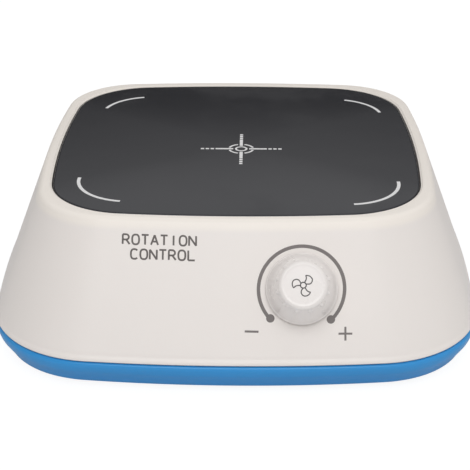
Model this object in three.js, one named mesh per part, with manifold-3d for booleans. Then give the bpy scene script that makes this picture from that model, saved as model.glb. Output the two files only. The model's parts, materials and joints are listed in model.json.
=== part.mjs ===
// Compact magnetic stirrer: white sloping case on a blue base tray, black work plate flush in the top,
// speed dial on the slanted front, spinning magnet carrier under the plate.
// Millimetres, +Z up, front towards -Y, +X to the user's right, ground at z = 0.
import * as THREE from 'three';
import { mergeVertices } from 'three/addons/utils/BufferGeometryUtils.js';
import Module from 'manifold-3d';

const wasm = await Module();
wasm.setup();

// ---------------------------------------------------------------- driving dimensions
const WALL = 2.5;               // case wall, measured level
const CASE_Z = 10.5;            // parting line between tray and upper shell
const CASE_RISE = 34.3;         // height of the sloping walls
const BASE_HALF_X = 75;         // half width at the parting line
const BASE_HALF_Y = 75.85;      // half depth at the parting line
const BASE_Y = 0.85;            // middle of the footprint
const RIM_HALF = 61.8;          // half size of the rim around the plate
const RIM_Y = 8.7;              // middle of the rim: the front wall leans back more than the rear one
const RIM_TOP = 46;             // top of the rim
const BASE_CORNER = 33.7;       // corner radius at the parting line
const RIM_CORNER = 24;          // corner radius at the rim
const SIDE_BOW = 440;           // radius of the gently bowed sides
const PLATE_HALF = 57.7;        // half size of the work plate
const PLATE_BOW = 376;          // bow radius of the plate sides
const PLATE_CORNER = 25.2;      // corner radius of the plate
const PLATE_TOP = 45.8;         // the plate sits 0.2 below the rim
const PLATE_THICK = 3;
const DECK_TOP = 42.4;          // floor of the plate recess
const DECK_UNDER = 39.9;        // underside of the deck
const TRAY_UNDER = 2;           // the feet lift the tray by this much
const TRAY_FLOOR = 4.4;
const STIR_X = 1.3;             // stirring axis, under the printed cross
const STIR_Y = 3.6;
const DIAL_X = 19.2;            // speed dial, on the slanted front wall
const DIAL_RISE = 0.546;        // how far up the wall the dial sits, 0 to 1
const SWITCH_X = 0;             // power rocker on the rear wall
const SWITCH_RISE = 0.5;
const ROCKER_DEEP = 3.9;        // rocker pivot, below the wall's outer surface
const ROCKER_TILT = 8;          // degrees either side of level
const JACK_X = -28;             // power inlet on the rear wall
const JACK_Z = 16.4;
const BOARD_TOP = 9.2;          // component side of the control board
const CASE_SCREWS = [[-50, -34], [50, -34], [-46, 60], [46, 60]];
const FEET = [[-52, -50], [52, -50], [-54, 48], [54, 48]];
const BOARD_POSTS = [[-32, 42], [20, 62], [20, 42], [-16, 62]];
const BOARD_SCREWS = BOARD_POSTS.slice(0, 2);
const BRACKET_REACH = 30;       // distance of the three bracket posts from the stirring axis
const KNOB_RIBS = 12;

// ---------------------------------------------------------------- materials
function paint(color, roughness, metalness) {
  return new THREE.MeshStandardMaterial({ color, roughness, metalness });
}
const whitePlastic = paint(0xe9e6e2, 0.45, 0);
const bluePlastic = paint(0x3f84c2, 0.42, 0);
const blackGlass = paint(0x35353a, 0.2, 0);
const rubber = paint(0x2a2a2c, 0.85, 0);
const blackPlastic = paint(0x1c1c1f, 0.5, 0);
const greyPlastic = paint(0x9a9ca0, 0.6, 0);
const foamTape = paint(0xd8d4c8, 0.9, 0);
const zincSteel = paint(0xb4b6ba, 0.35, 1);
const darkIron = paint(0x55565a, 0.55, 1);
const brass = paint(0xc9a24d, 0.3, 1);
const bronze = paint(0xa9743a, 0.4, 1);
const copper = paint(0xb8693a, 0.35, 1);
const nickel = paint(0xc8c8cc, 0.2, 1);
const ferrite = paint(0x3b3a3a, 0.75, 0);
const boardGreen = paint(0x1f6b3c, 0.5, 0);
const redWire = paint(0xb8261f, 0.5, 0);
const blackWire = paint(0x202022, 0.5, 0);
const greyWire = paint(0x8d9096, 0.5, 0);

// ---------------------------------------------------------------- solids
// a closed geometry as a manifold-3d solid: shared vertices merged, the folded triangles at a pole dropped
function solid(piece) {
  if (!piece.isBufferGeometry) return piece;
  const bare = piece.clone();
  for (const name of Object.keys(bare.attributes)) {
    if (name !== 'position') bare.deleteAttribute(name);
  }
  const welded = mergeVertices(bare, 1e-4);
  const kept = [];
  for (let i = 0; i < welded.index.count; i += 3) {
    const [a, b, c] = welded.index.array.slice(i, i + 3);
    if (a !== b && b !== c && c !== a) kept.push(a, b, c);
  }
  return new wasm.Manifold(new wasm.Mesh({
    numProp: 3,
    vertProperties: new Float32Array(welded.attributes.position.array),
    triVerts: new Uint32Array(kept),
  }));
}

function join(...pieces) {
  return pieces.map(solid).reduce((whole, next) => whole.add(next));
}

function cut(body, ...tools) {
  return tools.map(solid).reduce((left, tool) => left.subtract(tool), solid(body));
}

function bar(radius, low, high, segments, x = 0, y = 0) {
  const height = high - low;
  return new THREE.CylinderGeometry(radius, radius, height, segments)
    .rotateX(Math.PI / 2).translate(x, y, low + height / 2);
}

// turned along Z: a list of [radius, height], closed on the axis at both ends
function turned(profile, segments, x = 0, y = 0) {
  const outline = [[0, profile[0][1]], ...profile, [0, profile[profile.length - 1][1]]];
  const points = outline.map(([radius, z]) => new THREE.Vector2(radius, z));
  return new THREE.LatheGeometry(points, segments).rotateX(Math.PI / 2).translate(x, y, 0);
}

function tube(outer, inner, low, high, segments) {
  return cut(bar(outer, low, high, segments), bar(inner, low - 1, high + 1, segments));
}

function block(x0, x1, y0, y1, z0, z1) {
  return new THREE.BoxGeometry(x1 - x0, y1 - y0, z1 - z0)
    .translate((x0 + x1) / 2, (y0 + y1) / 2, (z0 + z1) / 2);
}

function prism(outline, low, high) {
  const shape = new THREE.Shape(outline.map(([x, y]) => new THREE.Vector2(x, y)));
  return new THREE.ExtrudeGeometry(shape, { depth: high - low, bevelEnabled: false }).translate(0, 0, low);
}

// skin over rings of equal length, lowest first, each counter-clockwise seen from above
function loft(rings) {
  const count = rings[0].length;
  const positions = rings.flat().flatMap((point) => point.toArray());
  const triangles = [];
  for (let level = 0; level < rings.length - 1; level += 1) {
    for (let i = 0; i < count; i += 1) {
      const a = level * count + i;
      const b = level * count + (i + 1) % count;
      triangles.push(a, b, b + count, a, b + count, a + count);
    }
  }
  for (const level of [0, rings.length - 1]) {
    const hub = positions.length / 3;
    const middle = new THREE.Vector3();
    for (const point of rings[level]) middle.addScaledVector(point, 1 / count);
    positions.push(...middle.toArray());
    for (let i = 0; i < count; i += 1) {
      const a = level * count + i;
      const b = level * count + (i + 1) % count;
      triangles.push(...(level === 0 ? [hub, b, a] : [hub, a, b]));
    }
  }
  const geometry = new THREE.BufferGeometry();
  geometry.setAttribute('position', new THREE.Float32BufferAttribute(positions, 3));
  geometry.setIndex(triangles);
  return geometry;
}

// insulated wire or ribbon along a smooth path
function run(points, halfWide, halfThick, steps) {
  const path = new THREE.CatmullRomCurve3(points.map(([x, y, z]) => new THREE.Vector3(x, y, z)));
  const section = new THREE.Shape();
  section.absellipse(0, 0, halfThick, halfWide, 0, 2 * Math.PI);
  return new THREE.ExtrudeGeometry(section, {
    steps, extrudePath: path, curveSegments: 4, bevelEnabled: false,
  });
}

// frame at `origin` whose Z points along `out` and whose Y points along `up`
function frameAt(origin, out, up) {
  const side = new THREE.Vector3().crossVectors(up, out);
  return new THREE.Matrix4().makeBasis(side, up, out).setPosition(origin);
}

// ---------------------------------------------------------------- case outline
// one quarter: bowed side, round corner, bowed side; every arc runs smoothly into the next
function quarterOutline(half, bow, corner, sideSteps, cornerSteps) {
  const inset = half - bow;
  const reach = bow - corner;
  const arc = (inset + Math.sqrt(2 * reach * reach - inset * inset)) / 2;
  const turn = Math.atan2(arc, arc - inset);
  const points = [];
  for (let i = 0; i < sideSteps; i += 1) {
    const angle = (turn * i) / sideSteps;
    points.push([inset + bow * Math.cos(angle), bow * Math.sin(angle)]);
  }
  for (let i = 0; i < cornerSteps; i += 1) {
    const angle = turn + ((Math.PI / 2 - 2 * turn) * i) / cornerSteps;
    points.push([arc + corner * Math.cos(angle), arc + corner * Math.sin(angle)]);
  }
  for (let i = 0; i < sideSteps; i += 1) {
    const angle = Math.PI / 2 - turn + (turn * i) / sideSteps;
    points.push([bow * Math.cos(angle), inset + bow * Math.sin(angle)]);
  }
  return points;
}

function caseRing(halfX, halfY, middleY, z, bow, corner) {
  const quarter = quarterOutline(halfX, bow, corner, 2, 6);
  const ring = [];
  for (let turn = 0; turn < 4; turn += 1) {
    const c = Math.round(Math.cos((turn * Math.PI) / 2));
    const s = Math.round(Math.sin((turn * Math.PI) / 2));
    for (const [x, y] of quarter) {
      const turnedY = (x * s + y * c) * (halfY / halfX);
      ring.push(new THREE.Vector3(x * c - y * s, turnedY + middleY, z));
    }
  }
  return ring;
}

// the sloping wall at height z, moved inwards by `inset`
function wallRing(z, inset) {
  const rise = (z - CASE_Z) / CASE_RISE;
  const halfX = BASE_HALF_X + (RIM_HALF - BASE_HALF_X) * rise - inset;
  const halfY = BASE_HALF_Y + (RIM_HALF - BASE_HALF_Y) * rise - inset;
  const corner = BASE_CORNER + (RIM_CORNER - BASE_CORNER) * rise - inset;
  return caseRing(halfX, halfY, BASE_Y + (RIM_Y - BASE_Y) * rise, z, SIDE_BOW - inset, corner);
}

function plateRing(z, inset) {
  const half = PLATE_HALF - inset;
  return caseRing(half, half, RIM_Y, z, PLATE_BOW - inset, PLATE_CORNER - inset);
}

// a point on the outside of the front (-1) or rear (+1) wall
function wallPoint(x, rise, side) {
  const halfY = BASE_HALF_Y + (RIM_HALF - BASE_HALF_Y) * rise;
  const middle = BASE_Y + (RIM_Y - BASE_Y) * rise;
  const bowed = SIDE_BOW - Math.sqrt(SIDE_BOW * SIDE_BOW - x * x);
  return new THREE.Vector3(x, middle + side * (halfY - bowed), CASE_Z + CASE_RISE * rise);
}

const frontLean = Math.atan2(BASE_HALF_Y - RIM_HALF + RIM_Y - BASE_Y, CASE_RISE);
const rearLean = Math.atan2(BASE_HALF_Y - RIM_HALF - RIM_Y + BASE_Y, CASE_RISE);
const upwards = new THREE.Vector3(0, 0, 1);
const dialFrame = frameAt(
  wallPoint(DIAL_X, DIAL_RISE, -1),
  new THREE.Vector3(0, -Math.cos(frontLean), Math.sin(frontLean)),
  new THREE.Vector3(0, Math.sin(frontLean), Math.cos(frontLean)),
);
const switchFrame = frameAt(
  wallPoint(SWITCH_X, SWITCH_RISE, 1),
  new THREE.Vector3(0, Math.cos(rearLean), Math.sin(rearLean)),
  new THREE.Vector3(0, -Math.sin(rearLean), Math.cos(rearLean)),
);
const jackFrame = frameAt(new THREE.Vector3(JACK_X, 0, JACK_Z), new THREE.Vector3(0, 1, 0), upwards);
const stirFrame = new THREE.Matrix4().makeTranslation(STIR_X, STIR_Y, 0);

// places on the three bracket arms, counted from the stirring axis
const bracketPosts = [90, 210, 330].map((degrees) => {
  const angle = THREE.MathUtils.degToRad(degrees);
  return [BRACKET_REACH * Math.cos(angle), BRACKET_REACH * Math.sin(angle)];
});

// ---------------------------------------------------------------- case
function makeUpperShell() {
  const outer = loft([
    wallRing(10.6, 0.5), wallRing(11.1, 0.1), wallRing(12, 0), wallRing(22, 0), wallRing(33, 0),
    wallRing(RIM_TOP - 1.9, 0), wallRing(RIM_TOP - 0.9, 0.25), wallRing(RIM_TOP - 0.3, 0.7),
    wallRing(RIM_TOP, 1.5),
  ]);
  const hollow = loft([9, 20, 30, DECK_UNDER].map((z) => wallRing(z, WALL)));
  const recess = loft([plateRing(DECK_TOP, -0.3), plateRing(RIM_TOP + 1, -0.3)]);
  const bosses = CASE_SCREWS.map(([x, y]) => bar(4, 13.9, DECK_UNDER + 1, 12, x, y));
  const posts = bracketPosts.map(([x, y]) => {
    return bar(3.6, 28.8, DECK_UNDER + 1, 12, x, y).applyMatrix4(stirFrame);
  });
  return cut(
    join(cut(outer, hollow, recess), ...bosses, ...posts),
    ...CASE_SCREWS.map(([x, y]) => bar(1.7, 12, 26, 10, x, y)),
    ...bracketPosts.map(([x, y]) => bar(1.6, 28, 37, 10, x, y).applyMatrix4(stirFrame)),
    bar(4.1, -8, 4, 20).applyMatrix4(dialFrame),
    block(-9.6, 9.6, -6.5, 6.5, -8, 6).applyMatrix4(switchFrame),
    bar(4.8, 66, 80, 24).applyMatrix4(jackFrame),
  );
}

function makeTray() {
  const outer = loft([
    caseRing(71.2, 71.8, BASE_Y, TRAY_UNDER, 386, 28.5), caseRing(72.1, 72.7, BASE_Y, 2.9, 390, 29.3),
    caseRing(74.5, 75.3, BASE_Y, 8.2, 430, 32.8), caseRing(BASE_HALF_X, BASE_HALF_Y, BASE_Y, 9.3, 440, 33.7),
    caseRing(74.6, 75.4, BASE_Y, 10.2, 440, 33.3),
  ]);
  const lip = loft([wallRing(9, WALL + 0.35), wallRing(12.6, WALL + 0.35)]);
  const hollow = loft([
    caseRing(69.4, 70, BASE_Y, TRAY_FLOOR, 390, 26.6), caseRing(71, 71.6, BASE_Y, 10.2, 436, 29.6),
    wallRing(13, WALL + 1.7),
  ]);
  return cut(
    join(
      cut(join(outer, lip), hollow),
      ...CASE_SCREWS.map(([x, y]) => bar(5, 3.4, 13.6, 14, x, y)),
      ...BOARD_POSTS.map(([x, y]) => bar(2.6, 3.4, 7.4, 10, x, y)),
    ),
    block(JACK_X - 6, JACK_X + 6, 66, 80, 10.3, 14),
    ...CASE_SCREWS.map(([x, y]) => bar(3.4, 1, 8.1, 14, x, y)),
    ...CASE_SCREWS.map(([x, y]) => bar(1.8, 6, 14, 10, x, y)),
    ...BOARD_SCREWS.map(([x, y]) => bar(1.15, 4.6, 8, 10, x, y)),
    ...FEET.map(([x, y]) => bar(7.3, 1, 2.8, 20, x, y)),
  );
}

function makeWorkPlate() {
  const low = PLATE_TOP - PLATE_THICK;
  return loft([
    plateRing(low, 0.3), plateRing(low + 0.3, 0), plateRing(PLATE_TOP - 0.4, 0), plateRing(PLATE_TOP, 0.4),
  ]);
}

function makePlateTape() {
  return cut(
    loft([plateRing(DECK_TOP + 0.1, 1.5), plateRing(DECK_TOP + 0.3, 1.5)]),
    loft([plateRing(DECK_TOP - 1, 9), plateRing(DECK_TOP + 1, 9)]),
  );
}

function makeFoot([x, y]) {
  return turned([[6.2, 0], [7, 0.6], [7, 2.7]], 20, x, y);
}

// pan-head screw along Z with a cross recess; `way` is 1 when its tip points up, -1 when it points down
function makeScrew(x, y, headRadius, headHeight, shankRadius, length, way) {
  const slot = headRadius * 0.55;
  const depth = headHeight * 0.4;
  const screw = cut(
    turned([
      [headRadius * 0.8, 0], [headRadius, headHeight * 0.3], [headRadius, headHeight],
      [shankRadius, headHeight], [shankRadius, length - 1], [0.4, length],
    ], 10),
    block(-slot, slot, -0.28, 0.28, -1, depth),
    block(-0.28, 0.28, -slot, slot, -1, depth),
  );
  return { screw, x, y, turn: way > 0 ? 0 : Math.PI };
}

// ---------------------------------------------------------------- stirring drive
function makeMotorBracket() {
  const arms = bracketPosts.map(([x, y]) => {
    const alongX = (x / BRACKET_REACH) * 5.5;
    const alongY = (y / BRACKET_REACH) * 5.5;
    const outline = [
      [x - alongY, y + alongX], [-alongY, alongX], [alongY, -alongX], [x + alongY, y - alongX],
    ];
    return prism(outline, 27, 28.6);
  });
  const ends = bracketPosts.map(([x, y]) => bar(5.5, 27, 28.6, 14, x, y));
  return cut(
    join(bar(15, 27, 28.6, 28), ...arms, ...ends),
    bar(4.1, 26, 30, 20), bar(1.45, 26, 30, 10, 8, 0), bar(1.45, 26, 30, 10, -8, 0),
    ...bracketPosts.map(([x, y]) => bar(1.6, 26, 30, 12, x, y)),
  );
}

function makeMotorCan() {
  return cut(
    turned([[12.2, 8.8], [12.2, 26.2], [11.6, 26.8], [3.8, 26.8], [3.8, 28.2]], 28),
    bar(11.2, 8, 25.6, 28), bar(2.95, 20, 30, 16),
    bar(1.4, 24, 28, 10, 8, 0), bar(1.4, 24, 28, 10, -8, 0),
  );
}

function makeEndCap() {
  return cut(turned([[11.4, 6.8], [12, 7.2], [12, 8.7]], 32), bar(2.95, 6, 10, 16));
}

function makeFieldMagnet(side) {
  const half = block(1.6, 12, -12, 12, 10, 26).rotateZ(side > 0 ? 0 : Math.PI);
  return tube(11.1, 8.9, 12, 24, 36).intersect(solid(half));
}

function makeArmature() {
  const slots = [0, 120, 240].flatMap((degrees) => {
    const turn = THREE.MathUtils.degToRad(degrees);
    return [block(3.2, 9, -0.8, 0.8, 12, 24).rotateZ(turn), block(3.2, 6.9, -2, 2, 12, 24).rotateZ(turn)];
  });
  return cut(bar(8.4, 13.4, 22.6, 30), ...slots, bar(1.06, 12, 24, 12));
}

function makeMagnetCarrier() {
  return cut(
    turned([[4.6, 29.8], [4.6, 32.6], [21.8, 32.6], [22.6, 33.4], [22.6, 38], [22, 38.4]], 36),
    bar(1.06, 28, 36.6, 12), bar(6.3, 33.6, 40, 20, 14.5, 0), bar(6.3, 33.6, 40, 20, -14.5, 0),
    bar(4.2, 34.6, 40, 16, 0, 14.5), bar(4.2, 34.6, 40, 16, 0, -14.5),
    block(0, 8, -1.05, 1.05, 30.3, 32.2),
  );
}

function makeStirMagnet(side) {
  return turned([[5.8, 33.7], [6, 33.9], [6, 38], [5.8, 38.2]], 24, side * 14.5, 0);
}

function makeSetScrew() {
  return cut(turned([[0.5, 1.15], [0.85, 1.5], [0.85, 4.4]], 12), bar(0.45, 3.4, 5, 6));
}

// ---------------------------------------------------------------- electronics
function makeControlBoard() {
  const holes = BOARD_SCREWS.map(([x, y]) => bar(1.3, 7, 10, 12, x, y));
  return cut(block(-36, 24, 38, 66, 7.6, BOARD_TOP), ...holes);
}

function makeJack() {
  const housing = block(-4.5, 4.5, -6.9, 5.1, 57.4, 70.4);
  const nose = turned([[4.4, 69], [4.4, 74.2], [4.1, 74.5]], 24);
  return cut(join(housing, nose), bar(2.8, 62.6, 76, 20));
}

function makeSwitchHousing() {
  const bezel = block(-11, 11, -7.5, 7.5, 0.3, 1.9);
  const housing = block(-9.3, 9.3, -6.2, 6.2, -13, 1);
  return cut(join(bezel, housing), block(-8, 8, -4.8, 4.8, -9, 3));
}

// the rocker's profile runs across the switch; it is drawn about its pivot, tilted to the off side
function makeRocker() {
  const profile = [
    [-6.2, 1.6], [-3, -1.6], [3, -1.6], [6.2, 1.6], [6.6, 5.4], [6.1, 5.6], [3, 4.75], [0, 4.5], [-3, 4.75],
    [-6.1, 5.6], [-6.6, 5.4],
  ];
  return prism(profile, -4.5, 4.5).rotateX(Math.PI / 2).rotateY(THREE.MathUtils.degToRad(ROCKER_TILT));
}

function makePotBody() {
  const can = join(turned([[8.3, -11.8], [8.3, -3.2]], 30), block(-6.6, 6.6, -11.4, 0, -9.4, -7.6));
  return cut(can, bar(3.2, -9, 0, 20));
}

function makePotBushing() {
  return cut(turned([[5, -3.1], [5, -2.8], [3.8, -2.8], [3.8, 3.6]], 20), bar(3.1, -4, 5, 20));
}

function makePotShaft() {
  return cut(turned([[2.9, -8.6], [2.9, 10.2], [2.5, 10.6]], 20), block(2.2, 4, -4, 4, 4, 12));
}

function makeKnob() {
  const body = turned([
    [10, 0.9], [10.3, 1.2], [10.3, 1.7], [9.9, 2.2], [9.6, 3], [7, 11.3], [6.7, 11.9], [6.2, 12.4],
    [5.5, 12.6],
  ], 36);
  const section = (inner, outer, half, z) => [[inner, -half], [outer, -half], [outer, half], [inner, half]]
    .map(([x, y]) => new THREE.Vector3(x, y, z));
  const rib = loft([section(9, 10.1, 0.6, 2.2), section(6, 7.4, 0.5, 11.4), section(6, 6.9, 0.4, 12)]);
  const ribs = [];
  for (let i = 0; i < KNOB_RIBS; i += 1) {
    ribs.push(rib.clone().rotateZ((2 * Math.PI * (i + 0.5)) / KNOB_RIBS));
  }
  const shaftHole = cut(bar(3.05, 3, 10.9, 20), block(2.35, 5, -5, 5, 2, 12));
  return cut(join(body, ...ribs), bar(7.6, 0, 4.4, 24), shaftHole);
}

// ---------------------------------------------------------------- assembly
const group = new THREE.Group();
group.name = 'magnetic_stirrer';

function subassembly(frame) {
  const branch = new THREE.Group();
  branch.applyMatrix4(frame);
  group.add(branch);
  return branch;
}

function addPart(parent, name, piece, material) {
  const mesh = solid(piece).getMesh();
  const geometry = new THREE.BufferGeometry();
  geometry.setAttribute('position', new THREE.Float32BufferAttribute(mesh.vertProperties, 3));
  geometry.setIndex(Array.from(mesh.triVerts));
  geometry.computeVertexNormals();
  const part = new THREE.Mesh(geometry, material);
  part.name = name;
  parent.add(part);
  return part;
}

// `z` is the height of the top of the head, or of its underside when the tip points up
function addScrew(parent, name, { screw, x, y, turn }, z) {
  const part = addPart(parent, name, screw, zincSteel);
  part.position.set(x, y, z);
  part.rotation.x = turn;
}

addPart(group, 'upper_shell', makeUpperShell(), whitePlastic);
addPart(group, 'work_plate', makeWorkPlate(), blackGlass);
addPart(group, 'plate_tape', makePlateTape(), foamTape);
addPart(group, 'base_tray', makeTray(), bluePlastic);
FEET.forEach((place, i) => addPart(group, `foot_${i + 1}`, makeFoot(place), rubber));
CASE_SCREWS.forEach(([x, y], i) => {
  addScrew(group, `case_screw_${i + 1}`, makeScrew(x, y, 3, 2.3, 1.45, 18.4, 1), 5.6);
});

const drive = subassembly(stirFrame);
addPart(drive, 'motor_bracket', makeMotorBracket(), zincSteel);
bracketPosts.forEach(([x, y], i) => {
  addScrew(drive, `bracket_screw_${i + 1}`, makeScrew(x, y, 2.6, 1.7, 1.35, 10.8, 1), 25.2);
});
addPart(drive, 'motor_can', makeMotorCan(), nickel);
addPart(drive, 'motor_end_cap', makeEndCap(), blackPlastic);
addPart(drive, 'bearing_upper', tube(2.85, 1.1, 25.9, 28.1, 16), bronze);
addPart(drive, 'bearing_lower', tube(2.85, 1.1, 6.9, 8.6, 16), bronze);
addPart(drive, 'field_magnet_right', makeFieldMagnet(1), ferrite);
addPart(drive, 'field_magnet_left', makeFieldMagnet(-1), ferrite);
[8, -8].forEach((x, i) => {
  addScrew(drive, `motor_screw_${i + 1}`, makeScrew(x, 0, 2.1, 1.3, 1.2, 5.1, -1), 30);
  addPart(drive, `motor_terminal_${i + 1}`, block(x - 1.1, x + 1.1, -0.25, 0.25, 4.8, 6.7), brass);
});
addPart(drive, 'motor_shaft', turned([[0.7, 7.1], [1, 7.4], [1, 35.9], [0.7, 36.3]], 12), zincSteel);
addPart(drive, 'armature', makeArmature(), darkIron);
addPart(drive, 'commutator', tube(2.7, 1.06, 9.8, 12.8, 18), copper);
addPart(drive, 'magnet_carrier', makeMagnetCarrier(), greyPlastic);
addPart(drive, 'stir_magnet_right', makeStirMagnet(1), nickel);
addPart(drive, 'stir_magnet_left', makeStirMagnet(-1), nickel);
const setScrew = addPart(drive, 'carrier_set_screw', makeSetScrew(), darkIron);
setScrew.position.z = 31.25;
setScrew.rotation.y = Math.PI / 2;

addPart(group, 'control_board', makeControlBoard(), boardGreen);
BOARD_SCREWS.forEach(([x, y], i) => {
  addScrew(group, `board_screw_${i + 1}`, makeScrew(x, y, 2.1, 1.3, 1.05, 5.6, -1), 10.6);
});
addPart(group, 'capacitor', turned([[4, 9.4], [4, 19.4], [3.6, 19.8]], 20, 12, 54), darkIron);
addPart(group, 'driver_chip', block(-13, -3, 47, 53, 9.4, 11.4), blackPlastic);
addPart(group, 'motor_connector', block(-6, 2, 39.5, 44.5, 9.4, 14.4), greyPlastic);
addPart(group, 'pot_connector', block(8, 16, 39.5, 44.5, 9.4, 14.4), greyPlastic);

const inlet = subassembly(jackFrame);
addPart(inlet, 'dc_jack', makeJack(), blackPlastic);
addPart(inlet, 'dc_jack_pin', turned([[1, 62.7], [1, 73], [0.6, 73.4]], 12), nickel);

const dial = subassembly(dialFrame);
addPart(dial, 'pot_body', makePotBody(), zincSteel);
addPart(dial, 'pot_bushing', makePotBushing(), brass);
addPart(dial, 'pot_washer', tube(5.9, 3.95, 0.5, 1, 24), zincSteel);
addPart(dial, 'pot_nut', cut(bar(5.7, 1.1, 3.1, 6), bar(3.95, 0, 4, 20)), nickel);
[-5, 0, 5].forEach((x, i) => {
  addPart(dial, `pot_terminal_${i + 1}`, block(x - 0.6, x + 0.6, -16, -11.5, -8.8, -8.3), brass);
});
addPart(dial, 'knob', makeKnob(), whitePlastic);
addPart(dial, 'pot_shaft', makePotShaft(), nickel);

const power = subassembly(switchFrame);
addPart(power, 'switch_housing', makeSwitchHousing(), blackPlastic);
addPart(power, 'switch_rocker', makeRocker(), blackPlastic).position.z = -ROCKER_DEEP;
[-5, 5].forEach((x, i) => {
  addPart(power, `switch_terminal_${i + 1}`, block(x - 2.3, x + 2.3, -0.4, 0.4, -19, -13.1), brass);
});

[['red', redWire, 8, 0], ['black', blackWire, -8, -4]].forEach(([colour, material, offset, end]) => {
  const x = STIR_X + offset;
  addPart(group, `motor_wire_${colour}`, run([
    [x, STIR_Y + 1.1, 5.7], [x, STIR_Y + 14, 5.6], [x * 0.6, 30, 7], [end, 36.5, 14], [end, 40, 17],
    [end, 42, 14.7],
  ], 0.6, 0.6, 20), material);
});
addPart(group, 'pot_cable', run([
  [DIAL_X, -46.8, 9], [DIAL_X + 3, -38, 7.2], [DIAL_X + 5, -20, 6.4], [DIAL_X + 5, 10, 6.4], [17, 30, 7],
  [12, 36.5, 14], [12, 40, 17.4], [12, 42.4, 15.4],
], 1.7, 0.6, 28), greyWire);
[-5, 5].forEach((x, i) => {
  const landing = x * 0.7 + 2;
  addPart(group, `switch_wire_${i + 1}`, run([
    [x, 53.6, 22.5], [x, 51.5, 20.5], [landing, 57, 15], [landing, 57.5, 9.5],
  ], 0.6, 0.6, 14), blackWire);
});

export default group;
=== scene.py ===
"""A compact magnetic stirrer on a pale table: white bowed case, blue tray, dark glass plate, speed dial.

Shapes are worked out in millimetres with numpy and put into meshes in metres, in the frame of the CAD model.
"""
import json
import math

import bpy
import numpy as np
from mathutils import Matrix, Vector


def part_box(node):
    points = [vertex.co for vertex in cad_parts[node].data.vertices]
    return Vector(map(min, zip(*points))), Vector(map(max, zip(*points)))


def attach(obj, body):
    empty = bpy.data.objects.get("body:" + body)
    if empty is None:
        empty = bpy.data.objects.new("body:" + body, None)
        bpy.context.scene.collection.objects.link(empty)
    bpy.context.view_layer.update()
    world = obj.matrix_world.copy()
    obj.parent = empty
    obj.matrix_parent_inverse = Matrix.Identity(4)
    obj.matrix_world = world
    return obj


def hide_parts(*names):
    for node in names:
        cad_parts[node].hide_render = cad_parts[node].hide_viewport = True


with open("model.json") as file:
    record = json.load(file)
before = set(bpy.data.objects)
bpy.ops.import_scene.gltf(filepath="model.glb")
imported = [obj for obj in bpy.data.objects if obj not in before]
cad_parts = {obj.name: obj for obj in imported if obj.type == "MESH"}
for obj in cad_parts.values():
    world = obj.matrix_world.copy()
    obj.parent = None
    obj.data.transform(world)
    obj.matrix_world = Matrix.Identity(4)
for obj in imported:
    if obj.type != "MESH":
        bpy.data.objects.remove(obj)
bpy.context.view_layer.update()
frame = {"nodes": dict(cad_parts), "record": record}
bpy.context.scene.view_settings.view_transform = "Standard"

# ------------------------ driving sizes, in millimetres
MM = 0.001
CASE_Z = 10.5              # parting line between tray and shell
CASE_RISE = 34.3           # height of the sloping walls
BASE_HALF = (75.0, 75.85)  # half width and half depth at the parting line
BASE_Y = 0.85              # middle of the footprint
RIM_HALF = 61.8            # half size of the rim round the plate
RIM_Y = 8.7                # middle of the rim
RIM_TOP = 46.0
CORNERS = (33.7, 24.0)     # corner radius at the parting line and at the rim
SIDE_BOW = 440.0           # radius of the gently bowed sides
WALL = 2.5                 # thickness of the shell
RIM_ROUND = 1.2            # radius of the rim's outer edge
PLATE_GAP = 0.3            # gap between the plate and the shell
DECK = (39.9, 42.4)        # underside and top of the deck that carries the plate
PLATE_HALF = 57.7
PLATE_BOW = 376.0
PLATE_CORNER = 25.2
PLATE_TOP = 45.8
PLATE_THICK = 3.0
DIAL_X = 19.2              # the dial sits right of the middle
DIAL_RISE = 0.546          # how far up the front wall the dial sits
SWITCH_RISE = 0.5          # how far up the rear wall the switch sits
KNOB_RIBS = 12
KNOB_FACE = 12.4           # height of the knob's top above the wall
SHAFT_HOLE = 4.1           # radius of the hole for the control's bushing
SWITCH_HOLE = (9.6, 6.5)   # half width and half height of the switch's cut-out
INLET_HOLE = 4.8           # radius of the hole for the power inlet's nose
ROCKER_REACH = 6.6         # half length of the rocker
ROCKER_PIVOT = -3.9        # height of the rocker's pivot over the wall
ROCKER_TILT = math.radians(8)
LETTER = (2.0, 2.8)        # width and height of a letter, between the middles of its strokes
LETTER_PITCH = 2.73
INK = 0.03                 # thickness of screen print
SHARP = 35.0               # edges turned by more than this many degrees stay crisp
TURNED_STEPS = 72          # points round a turned piece
OUTLINE_STEPS = 26         # points on half a side, and on a corner, of a bowed square
FRONT_RUN = BASE_HALF[1] - RIM_HALF + RIM_Y - BASE_Y  # how far the front wall slopes in
REAR_RUN = BASE_HALF[1] - RIM_HALF - RIM_Y + BASE_Y


# ------------------------ meshes from grids
def make_piece(name, points, faces, finish, body, slot, stands_for=(), sharp=SHARP):
    """A mesh from points in millimetres and a list of faces, turned outwards, riding on a body."""
    mesh = bpy.data.meshes.new(name)
    mesh.from_pydata((np.asarray(points) * MM).tolist(), [], faces)
    mesh.polygons.foreach_set("use_smooth", np.ones(len(mesh.polygons), bool))
    mesh.update()
    mesh.set_sharp_from_angle(angle=math.radians(sharp))
    mesh.materials.append(finish)
    piece = bpy.data.objects.new(name, mesh)
    bpy.context.scene.collection.objects.link(piece)
    if body:
        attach(piece, body)
    if stands_for:
        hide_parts(*stands_for)
    return piece


def grid_faces(rows, columns, offset, wrap_rows):
    """Quads between neighbouring grid points; columns close round, rows only when wrap_rows is true."""
    row = np.arange(rows if wrap_rows else rows - 1)[:, None]
    column = np.arange(columns)[None, :]
    below = row * columns
    above = ((row + 1) % rows) * columns
    right = (column + 1) % columns
    quads = np.stack([below + column, below + right, above + right, above + column], axis=-1)
    return quads.reshape(-1, 4) + offset


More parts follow.
